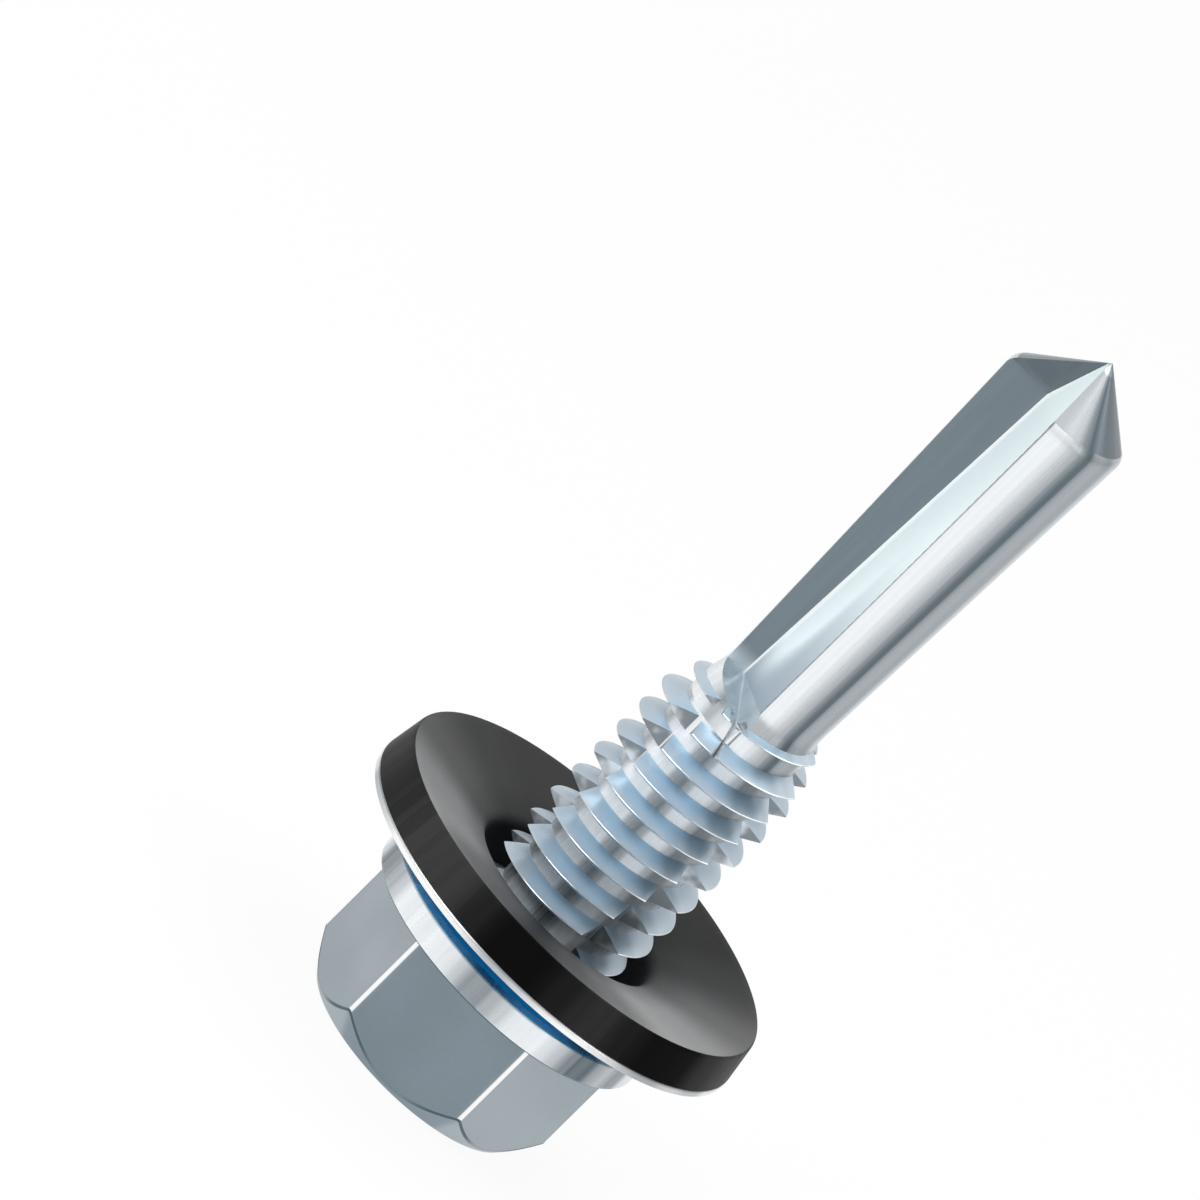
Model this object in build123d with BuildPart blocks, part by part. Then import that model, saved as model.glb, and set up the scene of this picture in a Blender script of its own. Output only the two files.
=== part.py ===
"""Self-drilling screw with a hexagon flange head and a bonded sealing washer, all in millimetres.

The screw stands on its head: the origin is the centre of the head's face, +Z runs along the shank
to the drill point, and one flat of the hexagon faces -Y. The screw is one forged and rolled piece.
Its washer is a dished steel plate with a rubber seal bonded under it, loose on the shank.
"""

import os
from math import cos, hypot, radians, sin, tan

from build123d import *

# Head
head_height = 5.0  # face of the head to the seat of the flange
across_flats = 7.9
corner_round = 0.18  # along the six upright edges
crown_radius = 3.82  # where the chamfer meets the face of the head
crown_slope = 53.0  # of the chamfer, from the face of the head
recess_radius = 3.35
recess_floor_radius = 3.0
recess_depth = 0.75
recess_bevel = 0.3  # between the wall and the floor of the recess
flange_radius = 5.0
flange_rim = 0.92
flange_bevel = 0.08

# Shank, from the seat of the flange
shank_length = 25.3
neck_radius = 2.1
neck_fillet = 0.4
neck_length = 0.9
root_radius = 2.0

# Rolled thread, right-handed, with notches down to its root
crest_radius = 2.75
thread_pitch = 0.98
flank_angle = 22.5  # of each flank, from square to the axis
notches_in_a_ring = 3
notch_width = 31.0  # at the crest, in degrees round the axis
notch_drift = 7.2  # turn of a row of notches over one pitch, in degrees
thread_start = 1.1  # from the seat of the flange
thread_length = 9.6
first_tooth_angle = -123.0  # round the axis, from +X
full_depth = 1.0
run_in_depths = [0.45, 0.8]  # of the first teeth, as shares of the full depth
run_out_depths = [0.88, 0.75, 0.52, 0.33, 0.14]  # of the last teeth

# Drill
thread_end_radius = 1.83  # of the body where the thread runs out
drill_radius = 2.24  # at the base of the point
point_angle = 97.0
web_at_tip = 0.05
flute_corner_at_point = 0.65  # from the middle plane out to the corner of the flute
flute_corner_at_thread = 1.14
flute_floor = 0.3  # from the middle plane to the flat wall that leads
run_out_length = 0.75  # of the twisted step that ends a flute at the thread
groove_length = 1.43  # of the pointed groove that runs on from it through the last turns
groove_side = 0.32  # from the middle plane out to the bottom of the groove
groove_depth = 0.3  # below the root of the thread, at the step
groove_lean = 8.0  # of the groove's leading wall at the step, in degrees from the middle plane

# Washer
washer_radius = 7.0
plate_thickness = 0.25
plate_hole_radius = 2.9
plate_seat_radius = 3.5  # outer radius of the flat ring under the flange
plate_dish = 1.03  # seat to rim, along the axis
plate_shoulder_radius = 4.6  # inner radius of the flat rim
seal_rim_thickness = 1.3
seal_rim_radius = 6.8  # at the face that meets the sheet
seal_land = 0.3  # width of the flat ring at the rim of that face
seal_hole_radius = 3.22
seal_lip_drop = 0.75  # how far the lip at the hole lies inside the rim's face
seal_lip_round = 0.3

seat_z = head_height
flange_z = head_height - flange_rim
tip_z = seat_z + shank_length
point_height = drill_radius / tan(radians(point_angle / 2))
point_z = tip_z - point_height
thread_depth = crest_radius - root_radius
thread_end_z = seat_z + thread_start + thread_length
apothem = across_flats / 2
beyond = 1.5 * crest_radius  # clear of the shank on every side
rim_z = seat_z + plate_dish
seal_z = rim_z + plate_thickness + seal_rim_thickness
lip_z = seal_z - seal_lip_drop
clear = 0.03  # by which a cut passes the surface that it ends at
near = 1e-6  # two coordinates closer than this are the same


def polar(radius, angle):
    """Point of a plane at a radius and an angle in degrees."""
    return (radius * cos(radians(angle)), radius * sin(radians(angle)))


def tooth(depth, arc, base_radius, spare_arc):
    """One stretch of thread between two notches, centred on +X at its middle and buried in the core."""
    reach = root_radius + depth * thread_depth
    half_base = tan(radians(flank_angle)) * (reach - base_radius)
    path_arc = arc + 2 * spare_arc
    path_rise = thread_pitch * path_arc / 360
    core_radius = root_radius if depth == full_depth else thread_end_radius
    foot = polar(core_radius - clear, arc / 2)
    lip = polar(crest_radius, (arc - notch_width) / 2)
    outer = (2 * lip[0] - foot[0], 2 * lip[1] - foot[1])
    heel = polar(base_radius - 0.3, arc / 2 - spare_arc)
    above = [heel, foot, outer, (beyond, outer[1])]
    below = [(x, -y) for x, y in reversed(above)]
    with BuildPart() as stretch:
        with BuildLine() as rise:
            Helix(thread_pitch, path_rise, base_radius, center=(0, 0, -path_rise / 2))
        with BuildSketch(Plane.XZ) as profile:
            with BuildLine():
                Polyline(
                    (base_radius, -half_base - path_rise / 2),
                    (reach, -path_rise / 2),
                    (base_radius, half_base - path_rise / 2),
                    close=True,
                )
            make_face()
        sweep(path=rise.line, is_frenet=True)
        middle = Plane.XY.rotated((0, 0, path_arc / 2)).offset(-thread_pitch)
        with BuildSketch(middle) as sector:
            with BuildLine():
                Polyline(*above, *below, close=True)
            make_face()
        extrude(amount=2 * thread_pitch, mode=Mode.INTERSECT)
    return stretch.part.moved(Location((0, 0, 0), (0, 0, -path_arc / 2)))


def thread_teeth():
    """All stretches of the thread, each a screw motion on from the one before."""
    arc = 360 / notches_in_a_ring / (1 - notch_drift / 360)
    rise = thread_pitch * arc / 360
    base_radius = thread_end_radius - 0.2
    count = round(thread_length / rise)
    full_count = count - len(run_in_depths) - len(run_out_depths)
    depths = run_in_depths + [full_depth] * full_count + run_out_depths
    shapes = {depth: tooth(depth, arc, base_radius, 4.0) for depth in set(depths)}
    start_z = seat_z + thread_start
    return [
        shapes[depth].moved(Location((0, 0, start_z + i * rise), (0, 0, first_tooth_angle + i * arc)))
        for i, depth in enumerate(depths)
    ]


def plate_dish_line(inner_z, inner_radius=plate_hole_radius):
    """Line of the plate's dish from its hole to its rim, at the height of its flat inner ring."""
    Polyline(
        (inner_radius, inner_z),
        (plate_seat_radius, inner_z),
        (plate_shoulder_radius, inner_z + plate_dish),
        (washer_radius, inner_z + plate_dish),
    )


def flute_section(z, corner, edge_direction, floor_direction):
    """Four-sided section of a flute's cutter: its inner corner and two walls that leave it outwards."""

    def along(direction):
        length = hypot(*direction)
        return (corner[0] + beyond * direction[0] / length, corner[1] + beyond * direction[1] / length)

    edge_end = along(edge_direction)
    floor_end = along(floor_direction)
    far = (edge_end[0] + floor_end[0] - corner[0], edge_end[1] + floor_end[1] - corner[1])
    with BuildSketch(Plane.XY.offset(z)) as section:
        with BuildLine():
            Polyline(edge_end, corner, floor_end, far, close=True)
        make_face()
    return section.sketch


def flute_cutter():
    """Cutter of the flute on the -X, -Y side, from its pointed start in the thread to past the tip."""
    step_z = thread_end_z - run_out_length
    groove_end = (0, -root_radius - clear)
    groove_foot = (-groove_side, groove_depth - root_radius)
    corner_low = (-flute_corner_at_thread, -flute_floor)
    corner_point = (-flute_corner_at_point, -flute_floor)
    corner_tip = (-web_at_tip, -web_at_tip * flute_floor / flute_corner_at_point)
    edge_at_point = (flute_corner_at_point, flute_floor - drill_radius)
    sections = [
        flute_section(step_z - groove_length, groove_end, (0, -1), polar(1, -90 - groove_lean / 2)),
        flute_section(step_z, groove_foot, (groove_side, -groove_depth), polar(1, -90 - groove_lean)),
        flute_section(
            thread_end_z,
            corner_low,
            (flute_corner_at_thread, flute_floor - thread_end_radius),
            (-1, 0),
        ),
        flute_section(point_z, corner_point, edge_at_point, (-1, 0)),
        flute_section(tip_z, corner_tip, edge_at_point, (-1, 0)),
        flute_section(tip_z + clear, corner_tip, edge_at_point, (-1, 0)),
    ]
    with BuildPart() as cutter:
        loft(sections, ruled=True)
    return cutter.part


# Screw: head, flange, shank, thread and drill in one piece
with BuildPart() as screw:
    with BuildSketch(Plane.XY) as hexagon:
        RegularPolygon(apothem, 6, major_radius=False)
    extrude(amount=flange_z)
    fillet(screw.edges().filter_by(Axis.Z), corner_round)
    with BuildSketch(Plane.XZ) as crown:
        with BuildLine():
            Polyline(
                (0, 0),
                (crown_radius, 0),
                (crown_radius + flange_z / tan(radians(crown_slope)), flange_z),
                (0, flange_z),
                close=True,
            )
        make_face()
    revolve(axis=Axis.Z, mode=Mode.INTERSECT)
    with BuildSketch(Plane.XZ) as recess:
        with BuildLine():
            Polyline(
                (0, 0),
                (recess_radius, 0),
                (recess_floor_radius, recess_depth),
                (0, recess_depth),
                close=True,
            )
        make_face()
        chamfer(recess.vertices().group_by(Axis.Z)[-1].sort_by(Axis.X)[-1], recess_bevel)
    revolve(axis=Axis.Z, mode=Mode.SUBTRACT)
    with BuildSketch(Plane.XZ) as turned:
        with BuildLine():
            Polyline(
                (0, flange_z),
                (flange_radius, flange_z),
                (flange_radius, seat_z),
                (neck_radius, seat_z),
                (neck_radius, seat_z + neck_length),
                (root_radius, seat_z + neck_length + neck_radius - root_radius),
                (root_radius, thread_end_z - run_out_length),
                (thread_end_radius, thread_end_z),
                (drill_radius, point_z),
                (0, tip_z),
                close=True,
            )
        make_face()
        rim = turned.vertices().filter_by(lambda v: abs(v.X - flange_radius) < near)
        chamfer(rim, flange_bevel)
        inner = turned.vertices().filter_by(lambda v: hypot(v.X - neck_radius, v.Z - seat_z) < near)
        fillet(inner, neck_fillet)
    revolve(axis=Axis.Z)
    add(thread_teeth())
    flute = flute_cutter()
    add([flute, flute.rotate(Axis.Z, 180)], mode=Mode.SUBTRACT)
screw.part.label = "screw"

# Washer plate: flat ring under the flange, conical shoulder and a flat rim
with BuildPart() as washer_plate:
    with BuildSketch(Plane.XZ) as plate_half:
        with BuildLine():
            plate_dish_line(seat_z)
            plate_dish_line(seat_z + plate_thickness)
            Line((plate_hole_radius, seat_z), (plate_hole_radius, seat_z + plate_thickness))
            Line((washer_radius, rim_z), (washer_radius, rim_z + plate_thickness))
        make_face()
    revolve(axis=Axis.Z)
washer_plate.part.label = "washer_plate"

# Washer seal: rubber that fills the hollow of the plate, with a dished face and a soft lip
with BuildPart() as washer_seal:
    with BuildSketch(Plane.XZ) as seal_half:
        with BuildLine():
            plate_dish_line(seat_z + plate_thickness, seal_hole_radius)
            Polyline(
                (washer_radius, rim_z + plate_thickness),
                (seal_rim_radius, seal_z),
                (seal_rim_radius - seal_land, seal_z),
                (seal_hole_radius, lip_z),
                (seal_hole_radius, seat_z + plate_thickness),
            )
        make_face()
        lip = seal_half.vertices().filter_by(lambda v: abs(v.Z - lip_z) < near)
        fillet(lip, seal_lip_round)
    revolve(axis=Axis.Z)
washer_seal.part.label = "washer_seal"

os.makedirs("parts", exist_ok=True)
for piece in (screw, washer_plate, washer_seal):
    export_step(piece.part, f"parts/{piece.part.label}.step")
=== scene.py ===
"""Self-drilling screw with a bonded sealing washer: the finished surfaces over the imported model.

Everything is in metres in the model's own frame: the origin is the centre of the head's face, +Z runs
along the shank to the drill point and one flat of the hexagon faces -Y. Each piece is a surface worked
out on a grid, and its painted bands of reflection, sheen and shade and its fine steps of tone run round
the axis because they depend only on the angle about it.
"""

import bpy
import numpy as np
from bpy.props import FloatProperty, FloatVectorProperty, IntProperty, PointerProperty
from bpy.types import Operator, Panel, PropertyGroup
from mathutils import Matrix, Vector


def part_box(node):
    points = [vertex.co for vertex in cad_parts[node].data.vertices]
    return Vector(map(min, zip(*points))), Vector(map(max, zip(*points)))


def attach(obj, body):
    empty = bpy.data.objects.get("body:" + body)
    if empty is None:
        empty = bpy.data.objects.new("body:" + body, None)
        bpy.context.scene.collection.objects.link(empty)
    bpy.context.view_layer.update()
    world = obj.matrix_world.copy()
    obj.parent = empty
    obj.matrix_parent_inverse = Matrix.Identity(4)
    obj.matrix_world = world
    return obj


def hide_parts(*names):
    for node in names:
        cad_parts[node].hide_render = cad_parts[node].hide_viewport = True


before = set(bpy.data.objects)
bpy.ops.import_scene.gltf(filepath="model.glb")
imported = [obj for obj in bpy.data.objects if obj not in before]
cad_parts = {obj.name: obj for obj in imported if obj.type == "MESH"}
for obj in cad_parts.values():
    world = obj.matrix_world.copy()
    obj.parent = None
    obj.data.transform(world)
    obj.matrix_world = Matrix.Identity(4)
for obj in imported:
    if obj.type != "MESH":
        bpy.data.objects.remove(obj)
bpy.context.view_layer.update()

bl_info = {
    "name": "Self-drilling screw",
    "version": (1, 0, 0),
    "blender": (4, 5, 0),
    "location": "View3D > Sidebar > Drilling screw",
    "description": "Hexagon flange head, notched thread, fluted drill and bonded sealing washer",
    "category": "Object",
}

MM = 0.001
SCREW_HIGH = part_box("screw")[1]
PLATE_LOW, PLATE_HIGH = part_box("washer_plate")
SEAL_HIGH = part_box("washer_seal")[1]


def length(name, description, value):
    """Property for a length, given in millimetres and kept in metres."""
    return FloatProperty(
        name=name, description=description, default=value * MM, min=0.0, precision=5, unit="LENGTH"
    )


def angle(name, description, value):
    """Property for an angle, given in degrees and kept in radians."""
    return FloatProperty(
        name=name, description=description, default=np.radians(value), subtype="ANGLE", unit="ROTATION"
    )


def colour(name, description, value):
    """Property for a linear colour."""
    return FloatVectorProperty(
        name=name, description=description, default=value, size=3, min=0.0, max=1.0, subtype="COLOR"
    )


def number(name, description, value):
    """Property for a plain number."""
    return FloatProperty(name=name, description=description, default=value, min=0.0)


class HeadSizes(PropertyGroup):
    """Hexagon, recess and flange."""

    across_flats: length("Across flats", "Width of the hexagon between two flats", 7.9)
    corner_round: length("Corner radius", "Radius of the six upright edges", 0.18)
    crown_radius: length("Crown radius", "Where the chamfer meets the face of the head", 3.82)
    crown_slope: angle("Crown slope", "Slope of the chamfer from the face of the head", 53)
    crown_round: length("Crown rounding", "Softness of the arcs where the chamfer meets the flats", 0.06)
    recess_radius: length("Recess radius", "Radius of the recess at the face", 3.35)
    recess_floor: length("Recess floor radius", "Radius of the recess at its floor", 3.0)
    recess_depth: length("Recess depth", "Depth of the recess", 0.75)
    recess_round: length("Recess rounding", "Rounding between the wall and the floor", 0.45)
    flange_radius: length("Flange radius", "Radius of the flange", SCREW_HIGH[0] / MM)
    flange_rim: length("Flange rim", "Height of the flange's rim", 0.92)
    flange_round: length("Flange rounding", "Rounding of the rim's edge on the hexagon's side", 0.13)
    flange_edge: length("Flange edge", "Rounding of the rim's edge at the seat", 0.06)
    seat: length("Seat height", "Height of the seat above the face of the head", PLATE_LOW[2] / MM)


class ShankSizes(PropertyGroup):
    """Neck and core that carry the thread and the drill."""

    neck_radius: length("Neck radius", "Radius under the head", 2.1)
    neck_length: length("Neck length", "Length of the neck from the seat", 0.9)
    root_radius: length("Root radius", "Radius at the root of the thread", 2.0)
    end_radius: length("End radius", "Radius where the thread runs out", 1.83)
    drill_radius: length("Drill radius", "Radius at the base of the point", 2.24)
    drill_round: length("Drill rounding", "Rounding where the lands meet the point", 0.2)
    point_angle: angle("Point angle", "Full angle of the point", 97)
    tip: length("Tip height", "Height of the tip above the face of the head", SCREW_HIGH[2] / MM)


class ThreadSizes(PropertyGroup):
    """Rolled right-hand thread, notched down to its root."""

    crest_radius: length("Crest radius", "Radius over the crests", 2.75)
    pitch: length("Pitch", "Rise of the thread in one turn", 0.98)
    flank: angle("Flank angle", "Angle of a flank from square to the axis", 22.5)
    notches: IntProperty(name="Notches", description="Notches in one ring", default=3, min=1)
    notch_width: angle("Notch width", "Width of a notch at the crest", 31)
    notch_drift: angle("Notch drift", "Turn of a row of notches over one pitch", 7.2)
    start: length("Start", "From the seat to the first stretch", 1.1)
    span: length("Length", "Length of the thread along the axis", 9.6)
    first_angle: angle("First angle", "Angle of the first stretch from +X", -123)
    crest_round: length("Crest rounding", "Softness of the crest", 0.06)


class FluteSizes(PropertyGroup):
    """The two straight flutes and the grooves that lead on from them."""

    corner_at_point: length("Corner at point", "From the middle to the flute's corner at the point", 0.65)
    corner_at_thread: length("Corner at thread", "The same where the thread ends", 1.14)
    floor: length("Floor", "From the middle plane to the wall that leads", 0.3)
    corner_round: length("Corner rounding", "Softness of the flute's inner corner", 0.16)
    web: length("Web", "Half width of the web at the tip", 0.05)
    run_out: length("Run-out", "Length of the twisted step at the thread", 0.75)
    groove_length: length("Groove length", "Length of the pointed groove", 1.43)
    groove_side: length("Groove side", "From the middle plane to the bottom of the groove", 0.32)
    groove_depth: length("Groove depth", "Depth of the groove below the root", 0.3)
    groove_lean: angle("Groove lean", "Lean of the groove's leading wall", 8)


class WasherSizes(PropertyGroup):
    """Dished plate and the rubber bonded under it."""

    radius: length("Radius", "Outer radius", PLATE_HIGH[0] / MM)
    thickness: length("Plate thickness", "Thickness of the plate", 0.25)
    hole_radius: length("Hole radius", "Radius of the hole in the plate", 2.9)
    seat_radius: length("Seat radius", "Outer radius of the ring under the flange", 3.5)
    dish: length("Dish", "From the seat to the rim along the axis", 1.03)
    shoulder_radius: length("Shoulder radius", "Inner radius of the flat rim", 4.6)
    bell_round: length("Bell rounding", "Rounding of the shoulder", 0.5)
    seal_face: length("Seal face", "Height of the face that meets the sheet", SEAL_HIGH[2] / MM)
    seal_radius: length("Seal face radius", "Radius of the rubber at its face", 6.8)
    seal_land: length("Seal land", "Width of the flat ring at the rim of the rubber", 0.3)
    seal_hole: length("Seal hole radius", "Radius of the hole in the rubber", 3.22)
    seal_lip: length("Seal lip", "How far the lip lies inside the face", 0.75)


class Finishes(PropertyGroup):
    """Colours, all linear."""

    # The two forged zinc colours are one zinc painted as shade and light: painted shade on the front flat
    # and every other one, painted light on the flats between.
    head: colour("Forged zinc", "Flat that faces the front and every other one", (0.215, 0.265, 0.3))
    head_painted_light: colour("Painted light on forged zinc", "The flats between them", (0.33, 0.38, 0.41))
    bright: colour("Bright zinc", "Turned surfaces", (0.93, 0.965, 0.99))
    # Dark of fine steps of tone, and painted shade: dark reflection bands, and the lines along the arcs and
    # the flange's edge.
    streak_and_painted_shade: colour("Streak and painted shade", "Dark of fine steps and of painted shade", (0.09, 0.125, 0.15))
    # The flank colour sits near the root and the paler one near the crest: painted shade and painted light
    # on the same rolled zinc.
    flank: colour("Flank", "Flanks of the thread", (0.52, 0.71, 0.86))
    flank_edge: colour("Flank at crest", "Flanks near the crest", (0.74, 0.81, 0.87))
    # The flutes' walls are one milled zinc painted as lit and shaded copies: the edge wall pale, the floor
    # wall dark, the edge wall's start beside the thread painted shade, the floor wall's start painted
    # light.
    flute: colour("Flute edge wall", "Wall at the back of a land", (0.87, 0.98, 1.0))
    flute_start: colour("Edge wall start", "The same wall beside the thread", (0.34, 0.42, 0.49))
    floor_wall: colour("Flute floor wall", "Flat wall that leads in the cut", (0.2, 0.245, 0.275))
    floor_wall_start: colour("Floor wall start", "The same wall beside the thread", (0.55, 0.65, 0.72))
    run_out: colour("Run-out", "Twisted step and groove that end a flute", (0.5, 0.59, 0.65))
    notch: colour("Notch", "Walls of the notches", (0.24, 0.275, 0.3))
    plate: colour("Plate", "Pressed sheet", (0.5, 0.56, 0.6))
    # Painted shade: blue put where other surfaces cover the zinc, found with ambient occlusion.
    painted_shade_blue: colour("Tint", "Blue painted as shade where other surfaces cover the zinc", (0.022, 0.42, 0.74))
    rubber: colour("Rubber", "Moulded rubber", (0.004, 0.004, 0.004))
    # Painted sheen: the light grey that the rubber's sheen is painted with.
    rubber_sheen: colour("Rubber sheen", "Painted sheen on the rubber", (0.33, 0.33, 0.33))
    floor: colour("Floor", "Floor and background", (0.97, 0.97, 0.97))


class StudioSizes(PropertyGroup):
    """Camera and lamps."""

    elevation: angle("Elevation", "Height of the camera above the floor", 18.7)
    roll: angle("Roll", "Slope of the screw's axis in the picture", 44.8)
    right: length("Right", "Aim point to the right of the origin in the picture", 5.475)
    up: length("Up", "Aim point above the origin in the picture", 13.352)
    width: length("Width", "Width of the picture at the object", 35.19)
    lens: FloatProperty(name="Lens", description="Focal length in millimetres", default=1000.0)
    key: number("Key", "Power of the key lamp in watts", 0.13)
    fill: number("Fill", "Power of the fill lamp in watts", 0.05)
    top: number("Top", "Power of the top lamp in watts", 0.08)
    world: number("World", "Strength of the surrounding light", 0.55)


class ScrewSettings(PropertyGroup):
    """Everything that a user may change."""

    head: PointerProperty(type=HeadSizes)
    shank: PointerProperty(type=ShankSizes)
    thread: PointerProperty(type=ThreadSizes)
    flute: PointerProperty(type=FluteSizes)
    washer: PointerProperty(type=WasherSizes)
    finish: PointerProperty(type=Finishes)
    studio: PointerProperty(type=StudioSizes)


def rounded_line(corners, cuts, steps=6):
    """Open line through corners, with every inner corner rounded.

    The corners have the shape (corner, place, 2), one line for each place along a path. A corner P with a
    cut c becomes the curve (1-t)^2 A + 2t(1-t) P + t^2 B, where A and B lie c from P on its two runs and
    c is at most 0.42 of the shorter run. A point a fifth of c further out on each run keeps the runs flat.
    """
    t = np.linspace(0, 1, steps + 1)[:, None, None]
    parts = [corners[:1]]
    for before, here, after, cut in zip(corners[:-2], corners[1:-1], corners[2:], cuts):
        back = before - here
        ahead = after - here
        back_length = np.linalg.norm(back, axis=-1, keepdims=True)
        ahead_length = np.linalg.norm(ahead, axis=-1, keepdims=True)
        reach = np.minimum(cut, 0.42 * np.minimum(back_length, ahead_length))
        start = here + back / back_length * reach
        end = here + ahead / ahead_length * reach
        curve = (1 - t) ** 2 * start + 2 * t * (1 - t) * here + t**2 * end
        parts += [(start + 0.2 * (start - here))[None], curve, (end + 0.2 * (end - here))[None]]
    return np.concatenate(parts + [corners[-1:]])


def lay_points(line, gap):
    """Line (point, place, 2) with straight in-between points, so that no run is longer than gap."""
    runs = np.linalg.norm(np.diff(line, axis=0), axis=-1).max(axis=1)
    counts = np.maximum(1, np.ceil(runs / gap)).astype(int)
    share = np.concatenate([i + np.arange(n) / n for i, n in enumerate(counts)] + [[len(line) - 1.0]])
    low = np.minimum(share.astype(int), len(line) - 2)
    t = (share - low)[:, None, None]
    return line[low] * (1 - t) + line[low + 1] * t


def turned(line, angles):
    """Points (point, angle, 3) of a line (point, angle or 1, 2) of radius and height carried round Z."""
    radius = line[..., 0]
    x = radius * np.cos(angles)
    y = radius * np.sin(angles)
    return np.stack([x, y, np.broadcast_to(line[..., 1], x.shape)], axis=-1)


def grid_quads(rows, columns, wrap_rows=False, first=0):
    """Four-sided faces (face, 4) between neighbouring rows of a grid whose columns close to a ring."""
    i = np.arange(rows if wrap_rows else rows - 1)[:, None]
    j = np.arange(columns)[None, :]
    down = (i + 1) % rows
    right = (j + 1) % columns
    corners = [i * columns + j, i * columns + right, down * columns + right, down * columns + j]
    return first + np.stack(np.broadcast_arrays(*corners), axis=-1).reshape(-1, 4)


def closed_strip(rows, columns, first=0):
    """Faces of a tube of rings of points, and the two flat ends that close it."""
    last = first + (rows - 1) * columns
    ends = [np.arange(first, first + columns)[::-1], np.arange(last, last + columns)]
    return [*grid_quads(rows, columns, first=first), *ends]


def enclosed_volume(points, faces):
    """Volume inside closed faces: the sum of a fan of tetrahedra from the origin over each face."""
    total = 0.0
    for face in faces:
        fan = points[np.asarray(face)]
        total += (np.cross(fan[1:-1], fan[2:]) @ fan[0]).sum() / 6
    return total


def make_mesh(name, points, faces, finishes, zones=None):
    """Mesh of a closed surface, turned so that its faces point outwards, with one finish for each zone."""
    points = points.reshape(-1, 3)
    faces = [list(map(int, face)) for face in faces]
    if enclosed_volume(points, faces) < 0:
        faces = [face[::-1] for face in faces]
    mesh = bpy.data.meshes.new(name)
    mesh.from_pydata(points.tolist(), [], faces)
    for finish in finishes:
        mesh.materials.append(finish)
    if zones is not None:
        mesh.polygons.foreach_set("material_index", np.asarray(zones, dtype=np.int32))
    mesh.update()
    return mesh


def add_object(name, content):
    """Object in the scene that shows a mesh, a lamp or a camera."""
    item = bpy.data.objects.new(name, content)
    bpy.context.scene.collection.objects.link(item)
    return item


def place(name, *surface):
    """Object of a closed surface, given as for its mesh, whose faces are sound."""
    mesh = make_mesh(name, *surface)
    if mesh.validate():
        raise RuntimeError(f"{name} had broken faces")
    return add_object(name, mesh)


def smooth(mesh, edge):
    """Shades a mesh smooth but for edges sharper than edge degrees."""
    mesh.shade_smooth()
    mesh.set_sharp_from_angle(angle=np.radians(edge))


def dress(piece, body, node):
    """Says what a piece rides on, and hides the solid of the model that it stands for."""
    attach(piece, body)
    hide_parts(node)


def axes_matrix(right, up, back, place_at):
    """Matrix of an object whose own X, Y and Z point right, up and back."""
    matrix = np.eye(4)
    matrix[:3] = np.stack([right, up, back, place_at], axis=1)
    return Matrix(matrix.tolist())


def corner_start(apothem, corner_round):
    """Angle from a flat's normal at which the flat ends and the rounding of the corner starts."""
    return np.arctan((apothem - corner_round) * np.tan(np.pi / 6) / apothem)


def hexagon_radius(angles, across_flats, corner_round):
    """Distance from the axis to the side of a hexagon with rounded corners, one flat facing -Y.

    On a flat it is apothem / cos(a), where a is the angle from the flat's normal. On a corner it is the far
    side of the corner's circle: d cos(b) + sqrt(r^2 - d^2 sin(b)^2), b from the corner and d to its centre.
    """
    apothem = across_flats / 2
    from_flat = (angles + np.pi / 2 + np.pi / 6) % (np.pi / 3) - np.pi / 6
    from_corner = np.pi / 6 - np.abs(from_flat)
    centre = (apothem - corner_round) / np.cos(np.pi / 6)
    inside = np.maximum(corner_round**2 - (centre * np.sin(from_corner)) ** 2, 0)
    return np.where(
        np.abs(from_flat) < corner_start(apothem, corner_round),
        apothem / np.cos(from_flat),
        centre * np.cos(from_corner) + np.sqrt(inside),
    )


def hexagon_angles(across_flats, corner_round):
    """Angles round the axis: even on each flat, close on each corner, and one beside each edge."""
    tangent = corner_start(across_flats / 2, corner_round)
    points_on_flat = 19
    points_on_corner = 11
    from_edge = 0.006
    flat = np.linspace(-tangent, tangent, points_on_flat)
    beside = np.array([-tangent + from_edge, tangent - from_edge])
    corner = np.linspace(tangent, np.pi / 3 - tangent, points_on_corner)[1:-1]
    sector = np.sort(np.concatenate([flat, beside, corner]))
    return (sector[None, :] + np.arange(6)[:, None] * np.pi / 3).ravel() - np.pi / 2


def add_node(tree, kind, inputs=None, **settings):
    """Node of a kind in a tree, with settings, and inputs that are values or other nodes' outputs."""
    node = tree.nodes.new(kind)
    for setting, value in settings.items():
        setattr(node, setting, value)
    for key, value in (inputs or {}).items():
        if isinstance(value, bpy.types.NodeSocket):
            tree.links.new(value, node.inputs[key])
        else:
            node.inputs[key].default_value = value
    return node


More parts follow.
